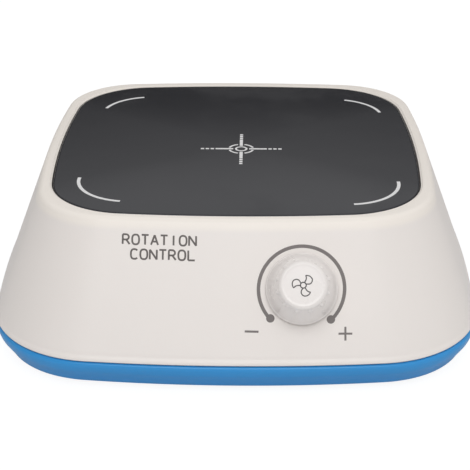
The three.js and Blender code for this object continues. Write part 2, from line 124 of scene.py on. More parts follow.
def signed_volume(points, triangles):
    """Sum of the tetrahedra between the origin and each triangle: positive when the faces look outwards."""
    a, b, c = (points[triangles[:, i]] for i in range(3))
    return float(np.einsum("ij,ij->i", a, np.cross(b, c)).sum()) / 6.0


def closed_skin(grids, wrap_rows=False):
    """Points and faces of one or more closed skins.

    Each grid is [rows, columns, 3]. Columns close round. Unless the rows close too, the first and last rows
    are shut with a fan of triangles onto the mean of their points.
    """
    all_points, all_faces, start = [], [], 0
    for grid in grids:
        rows, columns = grid.shape[:2]
        points = grid.reshape(-1, 3)
        quads = grid_faces(rows, columns, 0, wrap_rows)
        fans = np.zeros((0, 3), int)
        if not wrap_rows:
            points = np.vstack([points, grid[0].mean(0), grid[-1].mean(0)])
            edge = np.arange(columns)
            after = (edge + 1) % columns
            low = np.stack([np.full(columns, rows * columns), after, edge], axis=1)
            top = (rows - 1) * columns
            high = np.stack([np.full(columns, rows * columns + 1), top + edge, top + after], axis=1)
            fans = np.vstack([low, high])
        triangles = np.vstack([quads[:, [0, 1, 2]], quads[:, [0, 2, 3]], fans])
        if signed_volume(points, triangles) < 0:
            quads, fans = quads[:, ::-1], fans[:, ::-1]
        all_faces += (quads + start).tolist() + (fans + start).tolist()
        all_points.append(points)
        start += len(points)
    return np.vstack(all_points), all_faces


# ------------------------ outlines
def bowed_square(half, bow, corner):
    """Closed outline of a square with bowed sides and round corners, [n, 2].

    Each side is an arc of radius `bow` through (half, 0); each corner is an arc of radius `corner` whose
    middle lies on the diagonal, where it touches both neighbouring sides without a kink.
    """
    inset = half - bow
    reach = bow - corner
    diagonal = (inset + math.sqrt(2 * reach * reach - inset * inset)) / 2
    turn = math.atan2(diagonal, diagonal - inset)
    side = np.linspace(0, turn, OUTLINE_STEPS, endpoint=False)
    bend = np.linspace(turn, math.pi / 2 - turn, OUTLINE_STEPS, endpoint=False)
    next_side = side - turn + math.pi / 2
    quarter = np.concatenate([
        np.stack([inset + bow * np.cos(side), bow * np.sin(side)], 1),
        np.stack([diagonal + corner * np.cos(bend), diagonal + corner * np.sin(bend)], 1),
        np.stack([bow * np.cos(next_side), inset + bow * np.sin(next_side)], 1),
    ])
    turned = []
    for angle in (0, math.pi / 2, math.pi, 3 * math.pi / 2):
        c, s = round(math.cos(angle)), round(math.sin(angle))
        turned.append(quarter @ np.array([[c, s], [-s, c]], float))
    return np.concatenate(turned)


def case_ring(half_x, half_y, middle_y, z, bow, corner):
    """One level outline of the case: a bowed square stretched in depth by half_y / half_x."""
    outline = bowed_square(half_x, bow, corner)
    depth = outline[:, 1] * half_y / half_x + middle_y
    return np.stack([outline[:, 0], depth, np.full(len(outline), z)], 1)


def wall_size(rise):
    """Half width, half depth and middle of the case; each runs straight from the parting line to the rim."""
    half_x = BASE_HALF[0] + (RIM_HALF - BASE_HALF[0]) * rise
    half_y = BASE_HALF[1] + (RIM_HALF - BASE_HALF[1]) * rise
    return half_x, half_y, BASE_Y + (RIM_Y - BASE_Y) * rise


def wall_ring(z, inset=0.0):
    """The sloping wall at height z, drawn in by an inset."""
    rise = (z - CASE_Z) / CASE_RISE
    half_x, half_y, middle_y = wall_size(rise)
    corner = CORNERS[0] + (CORNERS[1] - CORNERS[0]) * rise - inset
    return case_ring(half_x - inset, half_y - inset, middle_y, z, SIDE_BOW - inset, corner)


def plate_ring(z, inset=0.0):
    """The work plate's outline at height z, drawn in by an inset."""
    half = PLATE_HALF - inset
    return case_ring(half, half, RIM_Y, z, PLATE_BOW - inset, PLATE_CORNER - inset)


def circle(radius, z, columns=TURNED_STEPS):
    """A level circle about the Z axis."""
    angle = np.linspace(0, 2 * math.pi, columns, endpoint=False)
    return np.stack([radius * np.cos(angle), radius * np.sin(angle), np.full(columns, z)], 1)


def turned_grid(profile, columns=TURNED_STEPS):
    """Rings of a turned piece along its own Z from a list of (radius, height)."""
    return np.stack([circle(radius, z, columns) for radius, z in profile])


def soft_rect(half_x, half_y, corner, z, shift_y=0.0):
    """Rectangle with round corners: rays at even angles end on the sides, or near a corner on its arc."""
    angle = np.linspace(0, 2 * math.pi, TURNED_STEPS, endpoint=False) + math.pi / TURNED_STEPS
    ray = np.stack([np.cos(angle), np.sin(angle)], 1)
    slope = np.maximum(np.abs(ray), 1e-9)
    flat = np.minimum(half_x / slope[:, 0], half_y / slope[:, 1])
    point = ray * flat[:, None]
    core = np.array([half_x - corner, half_y - corner])
    beyond = np.abs(point) - core
    in_corner = (beyond > 0).all(axis=1)
    push = beyond / np.maximum(np.linalg.norm(beyond, axis=1, keepdims=True), 1e-9) * corner
    rounded = np.sign(point) * (core + push)
    point = np.where(in_corner[:, None], rounded, point)
    return np.stack([point[:, 0], point[:, 1] + shift_y, np.full(TURNED_STEPS, z)], 1)


def round_over(steps, start, end):
    """Quarter turn from start to end, leaving level and arriving upright: a list of (across, height)."""
    angle = np.linspace(0, math.pi / 2, steps)
    across = start[0] + (end[0] - start[0]) * np.sin(angle)
    height = end[1] + (start[1] - end[1]) * np.cos(angle)
    return list(zip(across, height))


# ------------------------ places on the case
def wall_place(points, side, middle_x, middle_rise):
    """Carries flat points (across, up the wall, off the wall) onto the front (-1) or rear (+1) wall."""
    across, up, off = (points[..., i] for i in range(3))
    run = FRONT_RUN if side < 0 else REAR_RUN
    x = middle_x - side * across
    rise = middle_rise + up / math.hypot(run, CASE_RISE)
    half_x, half_y, middle_y = wall_size(rise)
    bulge = (half_x - SIDE_BOW + np.sqrt(SIDE_BOW**2 - x**2)) * half_y / half_x
    lean = math.atan2(run, CASE_RISE)
    tilt = x / SIDE_BOW
    return np.stack([
        x + off * tilt,
        middle_y + side * bulge + side * off * math.cos(lean),
        CASE_Z + CASE_RISE * rise + off * math.sin(lean),
    ], axis=-1)


def wall_frame(side, middle_x, middle_rise):
    """Stiff frame on the wall: its place, and the directions across, up the wall and out of it."""
    run = FRONT_RUN if side < 0 else REAR_RUN
    lean = math.atan2(run, CASE_RISE)
    place = wall_place(np.array([0.0, 0.0, 0.0]), side, middle_x, middle_rise)
    out = np.array([0.0, side * math.cos(lean), math.sin(lean)])
    up = np.array([0.0, -side * math.sin(lean), math.cos(lean)])
    return place, np.stack([np.cross(up, out), up, out])


def carried(points, stiff_frame):
    """Points (across, up, out) of a stiff frame, in the frame of the object."""
    place, axes = stiff_frame
    return place + points @ axes


def plate_place(points):
    """Carries flat points (right, away, off) onto the top of the work plate, counted from its middle."""
    return points + np.array([0.0, RIM_Y, PLATE_TOP])


def node_box(name):
    """Low and high corner of a CAD node, in millimetres."""
    return [np.array(corner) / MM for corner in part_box(name)]


def foot_point(low, high):
    """The point on the table below the middle of a box."""
    return np.array([(low[0] + high[0]) / 2, (low[1] + high[1]) / 2, 0.0])


dial = wall_frame(-1, DIAL_X, DIAL_RISE)
switch = wall_frame(1, 0.0, SWITCH_RISE)
jack_low, jack_high = node_box("dc_jack")
pin_low, pin_high = node_box("dc_jack_pin")
jack = (
    np.array([(jack_low[0] + jack_high[0]) / 2, 0.0, (pin_low[2] + pin_high[2]) / 2]),
    np.array([[-1.0, 0.0, 0.0], [0.0, 0.0, 1.0], [0.0, 1.0, 0.0]]),
)
shaft_low, shaft_high = node_box("motor_shaft")
stir = (shaft_low + shaft_high) / 2


def on_front(points):
    """Carries flat points onto the front wall, counted from the dial's middle."""
    return wall_place(points, -1, DIAL_X, DIAL_RISE)


def on_dial(points):
    """Carries points onto the knob's own stiff frame."""
    return carried(points, dial)


# ------------------------ printed lines
def stroke(path, width, lift=0.0, closed=False):
    """A printed line: a flat bar of the given width along a path [n, 2], its sides square to the path."""
    if closed:
        along = np.roll(path, -1, axis=0) - np.roll(path, 1, axis=0)
    else:
        along = np.gradient(path, axis=0)
    along = along / np.linalg.norm(along, axis=1, keepdims=True)
    across = np.stack([-along[:, 1], along[:, 0]], 1) * width / 2
    corners = []
    for sign, height in ((1, -0.01), (-1, -0.01), (-1, INK), (1, INK)):
        corners.append(np.column_stack([path + sign * across, np.full(len(path), height + lift)]))
    return np.stack(corners, axis=1)


def arc(middle, radius, start, end, steps=48):
    """Points on an arc about a middle, angles in degrees counted from the right, turning left."""
    angle = np.radians(np.linspace(start, end, steps))
    return np.stack([middle[0] + radius * np.cos(angle), middle[1] + radius * np.sin(angle)], 1)


def line(start, end, steps=2):
    """Points evenly spaced on a straight line."""
    return np.linspace(start, end, steps)


def spot(middle, radius):
    """A printed dot: a short turned bar."""
    grid = turned_grid([(radius, -0.01), (radius, INK)], 40)
    return grid + np.array([middle[0], middle[1], 0.0])


def curve(*controls, steps=14):
    """A Bezier curve through its first and last control points."""
    t = np.linspace(0, 1, steps)[:, None]
    degree = len(controls) - 1
    total = np.zeros((steps, 2))
    for i, control in enumerate(controls):
        total = total + math.comb(degree, i) * t**i * (1 - t) ** (degree - i) * np.array(control)
    return total


def polar(radius, degrees):
    """A flat point from its distance and its angle."""
    return (radius * math.cos(math.radians(degrees)), radius * math.sin(math.radians(degrees)))


def make_print(name, open_strokes, rings, place, finish, body, slot):
    """One piece of screen print from bars, dots and closed rings, carried onto its surface by `place`."""
    points, faces = closed_skin([place(grid) for grid in open_strokes])
    if rings:
        ring_points, ring_faces = closed_skin([place(grid) for grid in rings], wrap_rows=True)
        shifted = [[i + len(points) for i in face] for face in ring_faces]
        points, faces = np.vstack([points, ring_points]), faces + shifted
    return make_piece(name, points, faces, finish, body, slot)


# ------------------------ shader groups
def new_group(name, inputs, outputs):
    """An empty node group, with the sockets that its inside reads from and writes to."""
    group = bpy.data.node_groups.new(name, "ShaderNodeTree")
    for label, kind, value in inputs:
        socket = group.interface.new_socket(label, in_out="INPUT", socket_type=kind)
        if value is not None:
            socket.default_value = value
    for label, kind in outputs:
        group.interface.new_socket(label, in_out="OUTPUT", socket_type=kind)
    source = group.nodes.new("NodeGroupInput")
    result = group.nodes.new("NodeGroupOutput")
    return group, source.outputs, result.inputs


def fill_inputs(tree, made, values):
    """Links each value that is a socket, and sets each one that is a constant."""
    for key, value in values.items():
        if isinstance(value, bpy.types.NodeSocket):
            tree.links.new(value, made.inputs[key])
        else:
            made.inputs[key].default_value = value


def node(tree, kind, values=None, **settings):
    """A new node with its settings made and its inputs filled."""
    made = tree.nodes.new(kind)
    for key, value in settings.items():
        setattr(made, key, value)
    fill_inputs(tree, made, values or {})
    return made


def math_node(tree, operation, first, second=0.0):
    """The result of one operation on two values."""
    return node(tree, "ShaderNodeMath", {0: first, 1: second}, operation=operation).outputs[0]


def noise(tree, place, scale, detail=3.0, rough=0.55):
    """A cloudy value between 0 and 1."""
    values = {"Vector": place, "Scale": scale, "Detail": detail, "Roughness": rough}
    return node(tree, "ShaderNodeTexNoise", values).outputs[0]


def spread(tree, value, low, high, to_low, to_high):
    """Carries a value's range onto another one, easing at both ends."""
    made = node(tree, "ShaderNodeMapRange", {
        "Value": value, "From Min": low, "From Max": high, "To Min": to_low, "To Max": to_high,
    }, interpolation_type="SMOOTHSTEP")
    return made.outputs[0]


def build_moulded():
    """Moulded plastic: a fine spark-eroded grain, slow flow tone, and specks of dust caught in the mould."""
    group, inside, out = new_group(
        "moulded_skin",
        [("Place", "NodeSocketVector", None), ("Grain", "NodeSocketFloat", 1.0),
         ("Sheen Spread", "NodeSocketFloat", 0.1), ("Roughness", "NodeSocketFloat", 0.4)],
        [("Tone", "NodeSocketFloat"), ("Roughness", "NodeSocketFloat"), ("Height", "NodeSocketFloat")])
    place = inside["Place"]
    grain = noise(group, place, 2600.0, 2.0)
    pits = node(group, "ShaderNodeTexVoronoi", {"Vector": place, "Scale": 1500.0}).outputs[0]
    flow = noise(group, place, 22.0, 4.0, 0.6)
    specks = spread(group, noise(group, place, 700.0, 1.0), 0.72, 0.8, 0.0, 1.0)
    height = math_node(group, "MULTIPLY", math_node(group, "ADD", grain, pits), inside["Grain"])
    swing = math_node(group, "MULTIPLY", math_node(group, "SUBTRACT", flow, 0.5), inside["Sheen Spread"])
    tone = math_node(group, "SUBTRACT", flow, math_node(group, "MULTIPLY", specks, 0.25))
    group.links.new(tone, out["Tone"])
    group.links.new(math_node(group, "ADD", inside["Roughness"], swing), out["Roughness"])
    group.links.new(height, out["Height"])
    return group


def build_handled():
    """Handling: soft finger smudges and a thin scatter of dust, as masks between 0 and 1."""
    group, inside, out = new_group(
        "handled", [("Place", "NodeSocketVector", None)],
        [("Smudge", "NodeSocketFloat"), ("Dust", "NodeSocketFloat")])
    place = inside["Place"]
    patches = noise(group, place, 11.0, 2.0)
    smudge = math_node(group, "MULTIPLY", noise(group, place, 38.0, 5.0, 0.65), patches)
    motes = spread(group, noise(group, place, 1900.0, 1.0), 0.7, 0.78, 0.0, 1.0)
    settled = spread(group, noise(group, place, 30.0, 2.0), 0.45, 0.65, 0.0, 1.0)
    dust = math_node(group, "MULTIPLY", motes, settled)
    group.links.new(spread(group, smudge, 0.2, 0.42, 0.0, 1.0), out["Smudge"])
    group.links.new(dust, out["Dust"])
    return group


def build_drawn():
    """Drawn or rolled metal: long scratches along one direction, and slow tarnish."""
    group, inside, out = new_group(
        "drawn_metal",
        [("Place", "NodeSocketVector", None), ("Stretch", "NodeSocketVector", (1.0, 1.0, 0.04)),
         ("Roughness", "NodeSocketFloat", 0.3)],
        [("Tone", "NodeSocketFloat"), ("Roughness", "NodeSocketFloat"), ("Height", "NodeSocketFloat")])
    factors = {0: inside["Place"], 1: inside["Stretch"]}
    stretched = node(group, "ShaderNodeVectorMath", factors, operation="MULTIPLY")
    scratches = noise(group, stretched.outputs[0], 3200.0, 4.0, 0.6)
    tarnish = noise(group, inside["Place"], 160.0, 4.0, 0.6)
    worn = math_node(group, "MULTIPLY", math_node(group, "SUBTRACT", scratches, 0.5), 0.25)
    tone = math_node(group, "MULTIPLY", math_node(group, "ADD", scratches, tarnish), 0.5)
    group.links.new(tone, out["Tone"])
    group.links.new(math_node(group, "ADD", inside["Roughness"], worn), out["Roughness"])
    group.links.new(scratches, out["Height"])
    return group


moulded = build_moulded()
handled = build_handled()
drawn = build_drawn()


def new_finish(name):
    """A new material with its tree, its Principled shader and the place on the object."""
    made = bpy.data.materials.new(name)
    made.use_nodes = True
    tree = made.node_tree
    shader = tree.nodes["Principled BSDF"]
    place = tree.nodes.new("ShaderNodeTexCoord").outputs["Object"]
    return made, tree, shader, place


def use_group(tree, group, values):
    """Places a node group, fills its inputs and gives its outputs."""
    made = tree.nodes.new("ShaderNodeGroup")
    made.node_tree = group
    fill_inputs(tree, made, values)
    return made.outputs


def tones(tree, mask, first, second):
    """Colour between two colours, led by a mask; the first may be a socket."""
    below = first if isinstance(first, bpy.types.NodeSocket) else (*first, 1.0)
    return node(tree, "ShaderNodeMix", {0: mask, 6: below, 7: (*second, 1.0)}, data_type="RGBA").outputs[2]


def raise_grain(tree, shader, height, distance):
    """Bumps the surface by a height that counts for the given distance."""
    bump = node(tree, "ShaderNodeBump", {"Height": height, "Strength": 1.0, "Distance": distance})
    tree.links.new(bump.outputs[0], shader.inputs["Normal"])


def shade(colour, amount):
    """A colour made darker or paler, no channel above 1."""
    return tuple(min(1.0, channel * amount) for channel in colour)


def plastic(name, colour, roughness=0.4, grain=1.0, contrast=0.035, coat=0.0, dusty=0.0):
    """Moulded plastic in two close tones, with grain, uneven sheen, smudges and dust."""
    made, tree, shader, place = new_finish(name)
    skin = use_group(tree, moulded, {
        "Place": place, "Grain": grain, "Sheen Spread": 0.12, "Roughness": roughness,
    })
    marks = use_group(tree, handled, {"Place": place})
    base = tones(tree, skin["Tone"], shade(colour, 1 - contrast), shade(colour, 1 + contrast))
    dust = math_node(tree, "MULTIPLY", marks["Dust"], dusty)
    tree.links.new(tones(tree, dust, base, (0.62, 0.6, 0.56)), shader.inputs["Base Color"])
    greasy = math_node(tree, "MULTIPLY", marks["Smudge"], -0.05)
    tree.links.new(math_node(tree, "ADD", skin["Roughness"], greasy), shader.inputs["Roughness"])
    shader.inputs["Coat Weight"].default_value = coat
    shader.inputs["Coat Roughness"].default_value = 0.12
    raise_grain(tree, shader, skin["Height"], 0.00001 * grain)
    return made


def paint_rim_highlight(made, low, high, colour):
    """Paints a highlight: turns the base colour warmer and paler at a thin rim, as the height goes from low
    to high.
    """
    tree = made.node_tree
    base_colour = tree.nodes["Principled BSDF"].inputs["Base Color"]
    place = tree.nodes.new("ShaderNodeTexCoord").outputs["Object"]
    height = node(tree, "ShaderNodeSeparateXYZ", {"Vector": place}).outputs["Z"]
    # painted highlight: the mask grows with height towards the top of the rim
    rim = spread(tree, height, low, high, 0.0, 0.8)
    tree.links.new(tones(tree, rim, base_colour.links[0].from_socket, colour), base_colour)


def metal(name, colour, roughness=0.3, stretch=(1.0, 1.0, 0.04), contrast=0.16):
    """Drawn or plated metal with fine scratches and slow tarnish."""
    made, tree, shader, place = new_finish(name)
    skin = use_group(tree, drawn, {"Place": place, "Stretch": stretch, "Roughness": roughness})
    base = tones(tree, skin["Tone"], shade(colour, 1 - contrast), shade(colour, 1 + contrast))
    tree.links.new(base, shader.inputs["Base Color"])
    tree.links.new(skin["Roughness"], shader.inputs["Roughness"])
    shader.inputs["Metallic"].default_value = 1.0
    raise_grain(tree, shader, skin["Height"], 0.000008)
    return made


def dark_glass():
    """Dark toughened glass: near-black body, slow waviness, wiped smudges and a little dust."""
    made, tree, shader, place = new_finish("dark_work_glass")
    marks = use_group(tree, handled, {"Place": place})
    cloudy = noise(tree, place, 30.0, 3.0)
    base = tones(tree, cloudy, (0.0122, 0.0128, 0.0175), (0.0145, 0.0148, 0.0185))
    dust = math_node(tree, "MULTIPLY", marks["Dust"], 0.1)
    tree.links.new(tones(tree, dust, base, (0.3, 0.3, 0.29)), shader.inputs["Base Color"])
    wiped = spread(tree, marks["Smudge"], 0.0, 1.0, 0.16, 0.23)
    tree.links.new(wiped, shader.inputs["Roughness"])
    shader.inputs["IOR"].default_value = 1.5
    shader.inputs["Specular Tint"].default_value = (0.9, 0.93, 1.0, 1.0)
    raise_grain(tree, shader, noise(tree, place, 60.0, 2.0), 0.00002)
    return made


def screen_ink(name, colour):
    """Screen-printed ink: matt, with the mesh's fine cells and slightly uneven cover."""
    made, tree, shader, place = new_finish(name)
    cells = node(tree, "ShaderNodeTexVoronoi", {"Vector": place, "Scale": 4200.0}).outputs[0]
    cover = noise(tree, place, 900.0, 3.0)
    tree.links.new(tones(tree, cover, shade(colour, 0.86), shade(colour, 1.12)), shader.inputs["Base Color"])
    tree.links.new(spread(tree, cover, 0.3, 0.7, 0.45, 0.62), shader.inputs["Roughness"])
    raise_grain(tree, shader, cells, 0.000006)
    return made


def board_finish():
    """Solder mask over copper tracks: a grid of tracks shows as paler, slightly raised green lines."""
    made, tree, shader, place = new_finish("board_laminate")
    flat = node(tree, "ShaderNodeMapping", {"Vector": place, "Scale": (1.0, 1.0, 0.0)}).outputs[0]
    tracks = node(tree, "ShaderNodeTexBrick", {"Vector": flat, "Scale": 160.0, "Mortar Size": 0.035})
    lines = tracks.outputs["Fac"]
    cloud = noise(tree, place, 120.0, 3.0)
    uneven = math_node(tree, "MULTIPLY", cloud, 0.2)
    mixed = math_node(tree, "ADD", math_node(tree, "MULTIPLY", lines, 0.8), uneven)
    tree.links.new(tones(tree, mixed, (0.012, 0.11, 0.04), (0.03, 0.22, 0.085)), shader.inputs["Base Color"])
    tree.links.new(spread(tree, cloud, 0.3, 0.7, 0.28, 0.42), shader.inputs["Roughness"])
    raise_grain(tree, shader, lines, 0.00003)
    return made


WHITE = (0.85, 0.805, 0.775)
BLUE = (0.028, 0.3, 0.7)
finishes = {
    "white_plastic": plastic("case_white", WHITE, 0.42, grain=0.8, contrast=0.02, dusty=0.12),
    "blue_plastic": plastic("tray_blue", BLUE, 0.36, grain=0.8, contrast=0.05, dusty=0.1),
    "black_glass": dark_glass(),
    "foam_tape": plastic("foam_tape", (0.6, 0.57, 0.5), 0.9, grain=6.0, contrast=0.15),
    "rubber": plastic("foot_rubber", (0.03, 0.03, 0.032), 0.78, grain=3.0, contrast=0.2, dusty=0.5),
    "black_plastic": plastic(
        "black_nylon", (0.022, 0.022, 0.024), 0.42, grain=1.6, contrast=0.12, dusty=0.35),
    "grey_plastic": plastic("natural_acetal", (0.36, 0.37, 0.39), 0.5, grain=1.4, contrast=0.08, dusty=0.2),
    "zinc_steel": metal("zinc_plate", (0.55, 0.56, 0.58), 0.34),
    "nickel": metal("nickel_plate", (0.66, 0.65, 0.62), 0.2, contrast=0.08),
    "dark_iron": metal("dark_iron", (0.12, 0.12, 0.13), 0.5, stretch=(0.05, 0.05, 1.0), contrast=0.25),
    "brass": metal("sheet_brass", (0.72, 0.52, 0.2), 0.3),
    "bronze": metal("bush_bronze", (0.5, 0.3, 0.13), 0.42, stretch=(1.0, 1.0, 1.0)),
    "copper": metal("bar_copper", (0.72, 0.34, 0.2), 0.3),
    "ferrite": plastic("ferrite", (0.06, 0.058, 0.056), 0.7, grain=3.0, contrast=0.2),
    "board_laminate": board_finish(),
    "red_wire": plastic("red_sleeve", (0.45, 0.025, 0.02), 0.35, contrast=0.08, coat=0.2),
    "black_wire": plastic("black_sleeve", (0.02, 0.02, 0.022), 0.35, contrast=0.15, coat=0.2),
    "grey_wire": plastic("grey_sleeve", (0.28, 0.29, 0.31), 0.4, contrast=0.08, coat=0.1),
}
# painted highlight along the top of the shell's rim, paler and warmer than the shell
paint_rim_highlight(finishes["white_plastic"], (RIM_TOP - 3.5) * MM, (RIM_TOP - 1.5) * MM, (0.93, 0.875, 0.81))
plate_ink = screen_ink("plate_ink", (0.8, 0.8, 0.81))
case_ink = screen_ink("case_ink", (0.19, 0.17, 0.165))
label_ink = screen_ink("label_ink", (0.12, 0.105, 0.1))
knob_ink = screen_ink("knob_ink", (0.07, 0.065, 0.065))
knob_white = plastic("knob_white", (0.86, 0.82, 0.8), 0.3, grain=0.5, contrast=0.02, coat=0.25, dusty=0.1)
mark_ink = screen_ink("switch_ink", (0.75, 0.75, 0.74))

slots = {part["node"]: part["material_slot"] for part in frame["record"]["subparts"]}
for name, cad in frame["nodes"].items():
    cad.data.materials.clear()
    cad.data.materials.append(finishes[slots[name]])


# ------------------------ case
def cut_out(piece, cutters):
    """Cuts holes with closed cutters that are removed afterwards, and makes the cut edges crisp."""
    for grid in cutters:
        tool = make_piece("cutter", *closed_skin([grid]), piece.data.materials[0], None, None)
        modifier = piece.modifiers.new("hole", "BOOLEAN")
        modifier.operation = "DIFFERENCE"
        modifier.solver = "EXACT"
        modifier.object = tool
        bpy.context.view_layer.update()
        holed = bpy.data.meshes.new_from_object(piece.evaluated_get(bpy.context.evaluated_depsgraph_get()))
        piece.modifiers.clear()
        piece.data = holed
        bpy.data.objects.remove(tool)
    piece.data.set_sharp_from_angle(angle=math.radians(SHARP))


def make_case_shell():
    """White shell, hollow inside: level rings of the plate's and the wall's outline, joined in turn.

    They run up the recess, over the soft rim, down the sloping wall to a fine bead, and back up inside.
    """
    lip = 0.4  # height of the round between the recess and the rim
    rings = [plate_ring(DECK[1], -PLATE_GAP), plate_ring(RIM_TOP - lip, -PLATE_GAP)]
    for angle in (0.5, 1.0, math.pi / 2):
        outwards = lip * (1 - math.cos(angle)) + lip * math.sin(angle) / 2
        rings.append(plate_ring(RIM_TOP - lip * math.cos(angle), -PLATE_GAP - outwards))
    rim_edge = round_over(12, (RIM_ROUND, RIM_TOP), (0.0, RIM_TOP - RIM_ROUND))
    rings += [wall_ring(z, inset) for inset, z in rim_edge]
    rings += [wall_ring(z) for z in np.linspace(RIM_TOP - 2.1, 13.4, 12)]
    bead = [  # height, inset
        (12.9, 0.0), (12.5, 0.06), (12.2, 0.06), (11.9, -0.12), (11.4, -0.16), (11.0, -0.05), (10.72, 0.3),
        (10.6, 0.7), (10.6, WALL - 0.2), (10.8, WALL),
    ]
    rings += [wall_ring(z, inset) for z, inset in bead]
    rings += [wall_ring(z, WALL) for z in np.linspace(14, DECK[0], 8)]
    shell = make_piece("case_shell", *closed_skin([np.stack(rings)]), finishes["white_plastic"], "case",
                       "white_plastic", ["upper_shell"])
    cut_out(shell, [
        carried(turned_grid([(SHAFT_HOLE, -8), (SHAFT_HOLE, 4)], 48), dial),
        carried(np.stack([soft_rect(*SWITCH_HOLE, 0.6, z) for z in (-8, 6)]), switch),
        carried(turned_grid([(INLET_HOLE, 66), (INLET_HOLE, 80)], 64), jack),
    ])
    return shell


def make_tray_skin():
    """Blue tray: rounded foot, band that leans out, rolled top edge, and the lip that locates the shell.

    Each level ring is a bowed square whose bow and corner grow evenly from the foot to the top edge.
    """
    sections = [  # half width, height
        (69.0, 2.0), (70.4, 2.0), (71.1, 2.15), (71.7, 2.6), (72.05, 3.3),
        *[(72.05 + 2.3 * t, 3.3 + 3.7 * t) for t in np.linspace(0.15, 1, 6)],
        (74.6, 7.6), (74.8, 8.2), (74.95, 8.8), (75.0, 9.3), (74.96, 9.7), (74.8, 10.05), (74.5, 10.25),
        (73.9, 10.3),
    ]
    rings = []
    for half, z in sections:
        t = (z - 2.0) / 8.3
        depth = half * BASE_HALF[1] / BASE_HALF[0]
        corner = 28.5 + 5.2 * t - (72.0 - half) * (z < 2.1)
        rings.append(case_ring(half, depth, BASE_Y, z, 386 + 54 * t, corner))
    inner = [  # height, inset past the wall
        (10.35, 0.35), (12.4, 0.35), (12.6, 0.6), (12.6, 1.5), (10, 1.7), (4.6, 4.5), (4.4, 5),
    ]
    rings += [wall_ring(z, WALL + inset) for z, inset in inner]
    tray = make_piece("tray_skin", *closed_skin([np.stack(rings)]), finishes["blue_plastic"], "case",
                      "blue_plastic", ["base_tray"])
    screw_hole = turned_grid([(3.7, 1.8), (3.4, 2.3), (3.4, 8.1)], 48)
    foot_seat = turned_grid([(7.3, 1.5), (7.3, 2.8)], 64)
    holes = [screw_hole + foot_point(*node_box(f"case_screw_{i + 1}")) for i in range(4)]
    holes += [foot_seat + foot_point(*node_box(f"foot_{i + 1}")) for i in range(4)]
    cut_out(tray, holes)
    return tray


def make_glass():
    """Dark glass plate with ground, rounded edges."""
    low = PLATE_TOP - PLATE_THICK
    edge = [  # height, inset
        (low, 0.5), (low + 0.15, 0.2), (low + 0.5, 0.0), (PLATE_TOP - 0.6, 0.0), (PLATE_TOP - 0.32, 0.06),
        (PLATE_TOP - 0.12, 0.24), (PLATE_TOP - 0.02, 0.5), (PLATE_TOP, 0.8),
    ]
    rings = [plate_ring(z, inset) for z, inset in edge]
    return make_piece("glass_plate", *closed_skin([np.stack(rings)]), finishes["black_glass"], "case",
                      "black_glass", ["work_plate"])


# ------------------------ print on the plate
PLATE_ARCS = [  # where each corner arc starts and ends, right and away from the middle of the plate
    ((-34.1, 44.7), (-46.5, 33.1)), ((49.3, 30.1), (37.8, 42.8)),
    ((-48.3, -29.9), (-34.2, -47.7)), ((35.0, -49.0), (49.7, -31.7)),
]


def bulging_arc(start, end, radius):
    """Arc of the given radius from start to end, turning left about a middle on the left of the way there."""
    chord = end - start
    length = np.linalg.norm(chord)
    left = np.array([-chord[1], chord[0]]) / length
    middle = (start + end) / 2 + left * math.sqrt(radius**2 - length**2 / 4)
    first, last = (math.degrees(math.atan2(*(point - middle)[::-1])) for point in (start, end))
    return arc(middle, radius, first, last if last > first else last + 360, 40)


def make_plate_print():
    """Four corner arcs; over the stirring axis, a cross with broken arms, a ring and a split outer ring."""
    middle = np.array([stir[0], stir[1] - RIM_Y])
    dashes = ((2.6, 8.35), (8.85, 9.95), (10.45, 11.55), (12.05, 13.15))  # start and end, from the middle
    bars, rings = [], []
    for turn in range(4):
        direction = np.array([round(math.cos(turn * math.pi / 2)), round(math.sin(turn * math.pi / 2))])
        for start, end in dashes:
            bars.append(stroke(line(middle + start * direction, middle + end * direction), 1.02))
        bars.append(stroke(arc(middle, 3.9, 90 * turn + 16, 90 * turn + 75), 0.68))
    rings.append(stroke(arc(middle, 1.72, 0, 352.5, 48), 0.62, closed=True))
    for start, end in PLATE_ARCS:
        bars.append(stroke(bulging_arc(np.array(start), np.array(end), 16.5), 1.05))
    return make_print("plate_print", bars, rings, plate_place, plate_ink, "case", "black_glass")


# ------------------------ print on the front wall
def make_dial_print():
    """Open ring round the knob with a dot at each end, a minus below left and a plus below right."""
    radius, low, high = 12.28, -46.6, 223
    upright = ((-14.9, -13.2), (-12.7, -11.0))  # the plus sign's upright is broken where it meets the bar
    bars = [stroke(arc((0, 0), radius, low, high, 120), 1.0)]
    for angle in (low, high):
        bars.append(spot(polar(radius - 0.15, angle), 1.2))
    bars.append(stroke(line((-16.1, -11.95), (-12.2, -12.05)), 0.6))
    bars.append(stroke(line((10.5, -12.9), (14.4, -13.0)), 0.58))
    bars += [stroke(line((12.45, low_end), (12.45, high_end)), 0.58) for low_end, high_end in upright]
    return make_print("dial_print", bars, [], on_front, case_ink, "case", "white_plastic")


def rounded_loop(start, end, steps=30):
    """Part of a letter's round outline: a superellipse of power 2.6 between two angles in degrees."""
    angle = np.radians(np.linspace(start, end, steps))
    across = np.sign(np.cos(angle)) * np.abs(np.cos(angle)) ** (2 / 2.6)
    up = np.sign(np.sin(angle)) * np.abs(np.sin(angle)) ** (2 / 2.6)
    return np.stack([(1 + across) * LETTER[0] / 2, (1 + up) * LETTER[1] / 2], 1)


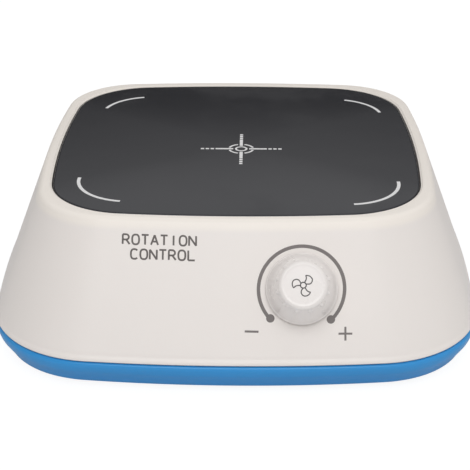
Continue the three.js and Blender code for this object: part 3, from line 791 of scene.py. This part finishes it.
def letter_paths(letter):
    """Middle lines of one plain capital, from its lower left corner."""
    wide, high = LETTER
    half = wide / 2
    waist = high * 0.46
    bowl = np.vstack([
        line((0, high), (half, high)),
        arc((half, (high + waist) / 2), (high - waist) / 2, 90, -90, 14)[1:],
        line((half, waist), (0, waist))[1:],
    ])
    return {
        "A": [line((0, 0), (half, high)), line((half, high), (wide, 0)),
              line((0.36, 0.95), (wide - 0.36, 0.95))],
        "C": [rounded_loop(42, 318)],
        "I": [line((half, 0), (half, high))],
        "L": [line((0.1, high), (0.1, 0)), line((0.1, 0), (wide, 0))],
        "N": [line((0, 0), (0, high)), line((0, high), (wide, 0)), line((wide, 0), (wide, high))],
        "O": [rounded_loop(0, 360, 44)],
        "R": [line((0, 0), (0, high)), bowl, line((half, waist), (wide, 0))],
        "T": [line((0, high), (wide, high)), line((half, high), (half, 0))],
    }[letter]


def make_label():
    """Two right-aligned lines of evenly spaced capitals, laid onto the bowed wall left of the dial."""
    bars = []
    for word, right, foot in (("ROTATION", -30.2, 12.3), ("CONTROL", -30.5, 8.1)):
        for i, letter in enumerate(word):
            corner = np.array([right - LETTER[0] - (len(word) - 1 - i) * LETTER_PITCH, foot])
            bars += [stroke(path + corner, 0.52) for path in letter_paths(letter)]
    return make_print("case_label", bars, [], on_front, label_ink, "case", "white_plastic")


# ------------------------ speed knob
def knob_grid(profile):
    """Turned knob whose cone carries ribs.

    The radius at an angle is the profile's radius plus a smooth-edged ridge, exp(-(arc from the rib's line /
    half width)^4), which fades in above the skirt, grows upwards, and ends in a rounded nub below the top.
    """
    pitch = 2 * math.pi / KNOB_RIBS
    angle = np.linspace(0, 2 * math.pi, 36 * KNOB_RIBS, endpoint=False)
    radius, height = (np.array(column)[:, None] for column in zip(*profile))
    from_rib = angle % pitch - pitch / 2
    nub = np.exp(-(((height - 10.6) / 0.45) ** 2))
    ridge = np.exp(-(((from_rib * radius) / (0.42 + 0.12 * nub)) ** 4))
    rise_in = np.clip((height - 2.2) / 3.0, 0, 1)
    fade_out = np.clip((12.0 - height) / 0.5, 0, 1)
    stand = (0.05 * rise_in**2 + 0.42 * nub) * np.sqrt(fade_out)
    r = radius + ridge * stand * ((radius > 5.5) & (height > 1.0))
    return np.stack([r * np.cos(angle), r * np.sin(angle), height + 0 * r], axis=-1)


def make_knob():
    """Speed knob: hollow underneath, thin skirt, gently bellied cone up to a flat top with a fine rim."""
    t = np.linspace(0, 1, 40)
    cone = list(zip(9.95 - 3.05 * t + 0.22 * np.sin(math.pi * t), 1.9 + 9.5 * t))
    profile = [  # radius, height
        (6.4, 4.4), (7.4, 4.4), (7.6, 4.2), (7.6, 1.2), (7.75, 0.95), (8.0, 0.9), (9.8, 0.9), (10.1, 0.97),
        (10.25, 1.12), (10.3, 1.35), (10.22, 1.6), (10.08, 1.75),
        *cone,
        (6.85, 11.6), (6.78, 11.82), (6.66, 12.02), (6.48, 12.2), (6.25, 12.34), (6.0, 12.42), (5.8, 12.44),
        (5.65, 12.42), (5.5, KNOB_FACE), (5.2, KNOB_FACE),
    ]
    return make_piece("dial_knob", *closed_skin([on_dial(knob_grid(profile))]), knob_white, "speed_knob",
                      "white_plastic", ["knob"], sharp=60)


def make_knob_sign():
    """Three-blade sign in thin line: a hub ring, and blades whose edges are three curves end to end."""
    edges = [  # each curve's control points: distance from the hub's middle, degrees from the blade's line
        [(0.95, -16), (1.8, -34), (2.6, -26), (3.0, -4)],
        [(3.0, -4), (3.3, 12), (3.1, 26), (2.75, 38)],
        [(2.75, 38), (2.1, 22), (1.5, 26), (0.95, 26)],
    ]
    bars = []
    rings = [stroke(arc((0, 0), 0.8, 0, 350, 36), 0.32, KNOB_FACE, closed=True)]
    for turn in (38, 158, 278):
        parts = [curve(*[polar(radius, turn + degrees) for radius, degrees in edge]) for edge in edges]
        blade = np.concatenate([parts[0], parts[1][1:], parts[2][1:]])
        bars.append(stroke(blade, 0.3, KNOB_FACE))
    return make_print("knob_sign", bars, rings, on_dial, knob_ink, "speed_knob", "white_plastic")


# ------------------------ rear: rocker switch and power inlet
def make_switch_frame():
    """Snap-in switch frame: rounded bezel with a well for the rocker, and its body behind the wall."""
    bezel_edge = [(0.06, 1.4), (0.22, 1.65), (0.45, 1.82), (0.8, 1.9)]  # inset, height over the wall
    sections = [  # half width, half height, corner, height over the wall
        (9.3, 6.2, 0.6, -13), (9.3, 6.2, 0.6, 0.3), (10.9, 7.4, 1.2, 0.3), (11, 7.5, 1.3, 0.45),
        (11, 7.5, 1.3, 1.1), *[(11 - inset, 7.5 - inset, 1.3, z) for inset, z in bezel_edge],
        (8.45, 5.25, 0.7, 1.9), (8.2, 5.0, 0.6, 1.82), (8.05, 4.85, 0.5, 1.6), (8.0, 4.8, 0.5, 1.2),
        (8.0, 4.8, 0.5, -9),
    ]
    grid = carried(np.stack([soft_rect(*section) for section in sections]), switch)
    return make_piece("switch_frame", *closed_skin([grid]), finishes["black_plastic"], "case",
                      "black_plastic", ["switch_housing"])


def on_rocker(points):
    """Carries points (across, up, height over the wall) with the rocker's tilt about its pivot."""
    across, up, height = (points[..., i] for i in range(3))
    lift = height - ROCKER_PIVOT
    x = across * math.cos(ROCKER_TILT) + lift * math.sin(ROCKER_TILT)
    z = -across * math.sin(ROCKER_TILT) + lift * math.cos(ROCKER_TILT) + ROCKER_PIVOT
    return carried(np.stack([x, up, z], -1), switch)


def rocker_top(across):
    """Height of the dished rocker face: a shallow parabola."""
    return 0.6 + 1.05 * (across / ROCKER_REACH) ** 2


def make_rocker():
    """Rocker: a section carried along its axis, its ends drawn in by a quarter-round edge.

    At each angle the section lies at the cosine to the power 0.75 across; its lower half lies at the sine to
    the power 0.8 down, and its upper half on the dished top.
    """
    angle = np.linspace(0, 2 * math.pi, 96, endpoint=False)
    across = ROCKER_REACH * np.sign(np.cos(angle)) * np.abs(np.cos(angle)) ** 0.75
    belly = -5.5 * np.abs(np.sin(angle)) ** 0.8
    top = rocker_top(across) - 0.5 * (np.abs(np.cos(angle)) > 0.97)
    height = np.where(np.sin(angle) >= 0, top, belly)
    middle = np.array([0.0, 0.0, -1.5])
    ends = [(4.5, 0.9), (4.42, 0.94), (4.25, 0.975), (3.95, 1.0)]  # distance from the middle, scale
    rings = []
    for up, pull in [(-up, pull) for up, pull in ends] + ends[::-1]:
        ring = np.stack([across, np.full(len(angle), up), height], 1)
        rings.append((ring - middle) * np.array([pull, 1.0, pull]) + middle)
    return make_piece("rocker_cap", *closed_skin([on_rocker(np.stack(rings))]), finishes["black_plastic"],
                      "power_rocker", "black_plastic", ["switch_rocker"])


def make_rocker_marks():
    """A bar for on and a ring for off, printed on the dished face."""
    def place(points):
        """Lifts flat points onto the dished face and tilts them with the rocker."""
        lifted = points.copy()
        lifted[..., 2] += rocker_top(points[..., 0])
        return on_rocker(lifted)

    bars = [stroke(line((4.0, -1.5), (4.0, 1.5), 6), 0.45)]
    rings = [stroke(arc((-4.0, 0), 1.3, 0, 350, 36), 0.42, closed=True)]
    return make_print("rocker_marks", bars, rings, place, mark_ink, "power_rocker", "black_plastic")


def make_inlet():
    """Power inlet: moulded body behind the wall, round nose with a chamfered mouth."""
    middle_z = (jack_low[2] + jack_high[2]) / 2 - jack[0][2]
    half = (jack_high - jack_low) / 2
    rings = [soft_rect(half[0] - 0.3, half[2] - 0.3, 0.5, 57.4, shift_y=middle_z)]
    rings += [soft_rect(half[0], half[2], 0.5, z, shift_y=middle_z) for z in (57.8, 70.2)]
    nose = [  # radius, distance behind the case's middle
        (4.4, 70.4), (4.4, 73.9), (4.34, 74.2), (4.2, 74.42), (4.0, 74.5), (3.25, 74.5), (3.05, 74.4),
        (2.85, 74.1), (2.8, 73.8), (2.8, 62.6),
    ]
    rings += [circle(radius, z) for radius, z in nose]
    grid = carried(np.stack(rings), jack)
    return make_piece("power_inlet", *closed_skin([grid]), finishes["black_plastic"], "case",
                      "black_plastic", ["dc_jack"])


# ------------------------ underside
def make_feet():
    """Rubber feet: bulged side, dished sole with one moulded groove."""
    profile = [  # radius, height
        (0.8, 0.35), (2.6, 0.32), (3.4, 0.1), (3.8, 0.0), (5.0, 0.0), (5.15, 0.25), (5.45, 0.25), (5.6, 0.0),
        (6.1, 0.0), (6.45, 0.08), (6.75, 0.3), (6.92, 0.65), (7.0, 1.1), (7.0, 2.3), (6.9, 2.6), (6.7, 2.7),
    ]
    for i in range(4):
        grid = turned_grid(profile) + foot_point(*node_box(f"foot_{i + 1}"))
        make_piece(f"foot_pad_{i + 1}", *closed_skin([grid]), finishes["rubber"], "case", "rubber",
                   [f"foot_{i + 1}"])


def make_case_screws():
    """Pan-head screws seen from below; the head's face sinks along a cross to make the driver recess."""
    face_radii = [0.25, 0.5, 0.75, 1.0, 1.25, 1.5, 1.7, 1.9, 2.15, 2.4]
    for i in range(4):
        low, high = node_box(f"case_screw_{i + 1}")
        head, tip = low[2], high[2]
        profile = [(radius, head) for radius in face_radii]
        profile += [(2.7, head + 0.15), (2.9, head + 0.45), (3.0, head + 0.9), (3.0, head + 2.3)]
        profile += [(1.45, head + 2.3), (1.45, tip - 1.6), (1.2, tip - 1.0), (0.4, tip)]
        grid = turned_grid(profile, 64)
        arms = np.minimum(np.abs(grid[..., 0]), np.abs(grid[..., 1]))
        reach = np.hypot(grid[..., 0], grid[..., 1])
        sunk = np.clip((0.42 - arms) / 0.12, 0, 1) * np.clip((1.8 - reach) / 0.25, 0, 1)
        face = slice(len(face_radii))
        grid[face, :, 2] += 1.1 * sunk[face]
        make_piece(f"tray_screw_{i + 1}", *closed_skin([grid + foot_point(low, high)]),
                   finishes["zinc_steel"], "case", "zinc_steel", [f"case_screw_{i + 1}"])


make_case_shell()
make_tray_skin()
make_glass()
make_plate_print()
make_dial_print()
make_label()
make_knob()
make_knob_sign()
make_switch_frame()
make_rocker()
make_rocker_marks()
make_inlet()
make_feet()
make_case_screws()


# ------------------------ table, light and camera
def make_table():
    """Pale table top, large enough to fill the view, which the camera sees near white."""
    made, tree, shader, place = new_finish("table_white")
    speck = noise(tree, place, 40.0, 4.0)
    tree.links.new(tones(tree, speck, (0.78, 0.78, 0.78), (0.82, 0.82, 0.82)), shader.inputs["Base Color"])
    shader.inputs["Roughness"].default_value = 0.8
    shader.inputs["Specular IOR Level"].default_value = 0.1
    glow = node(tree, "ShaderNodeEmission", {"Strength": 1.15})
    looked_at = tree.nodes.new("ShaderNodeLightPath").outputs["Is Camera Ray"]
    bright = node(tree, "ShaderNodeMixShader", {
        0: math_node(tree, "MULTIPLY", looked_at, 0.8), 1: shader.outputs[0], 2: glow.outputs[0],
    })
    tree.links.new(bright.outputs[0], tree.nodes["Material Output"].inputs[0])
    mesh = bpy.data.meshes.new("table")
    half = 3.0
    corners = [(-half, -half, 0), (half, -half, 0), (half, half, 0), (-half, half, 0)]
    mesh.from_pydata(corners, [], [(0, 1, 2, 3)])
    mesh.materials.append(made)
    table = bpy.data.objects.new("table", mesh)
    bpy.context.scene.collection.objects.link(table)


def make_room():
    """White tent: behind, a dim band between bright cloth and a low glow, so the glass shades to dark."""
    world = bpy.data.worlds.new("light_tent")
    bpy.context.scene.world = world
    world.use_nodes = True
    tree = world.node_tree
    tree.nodes.clear()
    direction = tree.nodes.new("ShaderNodeTexCoord").outputs["Generated"]
    parts = node(tree, "ShaderNodeSeparateXYZ", {0: direction}).outputs
    climb = spread(tree, parts["Z"], 0.28, 0.48, 0.05, 0.72)
    horizon = spread(tree, parts["Z"], 0.04, 0.16, 0.8, 0.0)
    aside = spread(tree, parts["X"], -0.4, 0.4, 0.94, 1.1)
    upper = math_node(tree, "ADD", math_node(tree, "MULTIPLY", climb, aside), horizon)
    behind = spread(tree, parts["Y"], 0.0, 0.5, 0.0, 1.0)
    sides = spread(tree, parts["X"], -0.9, 0.9, 0.34, 0.6)
    round_level = node(tree, "ShaderNodeMix", {0: behind, 2: sides, 3: upper}).outputs[0]
    level = math_node(tree, "ADD", round_level, spread(tree, parts["Z"], 0.6, 1.0, 0.0, 0.22))
    lit = node(tree, "ShaderNodeBackground", {"Color": (1.0, 0.99, 0.98, 1.0), "Strength": level})
    seen = node(tree, "ShaderNodeBackground", {"Color": (1.0, 1.0, 1.0, 1.0), "Strength": 1.0})
    looked_at = tree.nodes.new("ShaderNodeLightPath").outputs["Is Camera Ray"]
    mixed = node(tree, "ShaderNodeMixShader", {0: looked_at, 1: lit.outputs[0], 2: seen.outputs[0]})
    result = tree.nodes.new("ShaderNodeOutputWorld")
    tree.links.new(mixed.outputs[0], result.inputs[0])


def aim(thing, place, target):
    """Turns a camera or light, which looks along its own -Z, from its place towards a target."""
    back = np.array(place) - np.array(target)
    back = back / np.linalg.norm(back)
    right = np.cross([0.0, 0.0, 1.0], back)
    right = right / np.linalg.norm(right)
    up = np.cross(back, right)
    matrix = np.eye(4)
    matrix[:3, 0], matrix[:3, 1], matrix[:3, 2], matrix[:3, 3] = right, up, back, place
    thing.matrix_world = matrix.T.tolist()


def make_softbox(name, place, size, power):
    """Soft rectangular light that looks at the middle of the object."""
    lamp = bpy.data.lights.new(name, "AREA")
    lamp.shape = "RECTANGLE"
    lamp.size, lamp.size_y = size
    lamp.energy = power
    box = bpy.data.objects.new(name, lamp)
    bpy.context.scene.collection.objects.link(box)
    aim(box, place, (0.0, 0.0, 0.02))


def make_camera():
    """Camera in front and above, a little to the right of the middle, with a long lens."""
    lens = bpy.data.cameras.new("camera")
    lens.sensor_width = 36.0
    lens.lens = 100.3
    lens.shift_y = -0.0327
    lens.clip_start, lens.clip_end = 0.01, 20.0
    camera = bpy.data.objects.new("camera", lens)
    bpy.context.scene.collection.objects.link(camera)
    place = np.array([0.00503, -0.39335, 0.20276])
    elevation, azimuth = math.radians(24.67), math.radians(0.83)
    level = math.cos(elevation)
    back = np.array([math.sin(azimuth) * level, -math.cos(azimuth) * level, math.sin(elevation)])
    aim(camera, place, place - back)
    bpy.context.scene.camera = camera


make_table()
make_room()
make_softbox("front_softbox", (-0.01, -0.6, 0.7), (0.6, 0.4), 2.82)
make_camera()
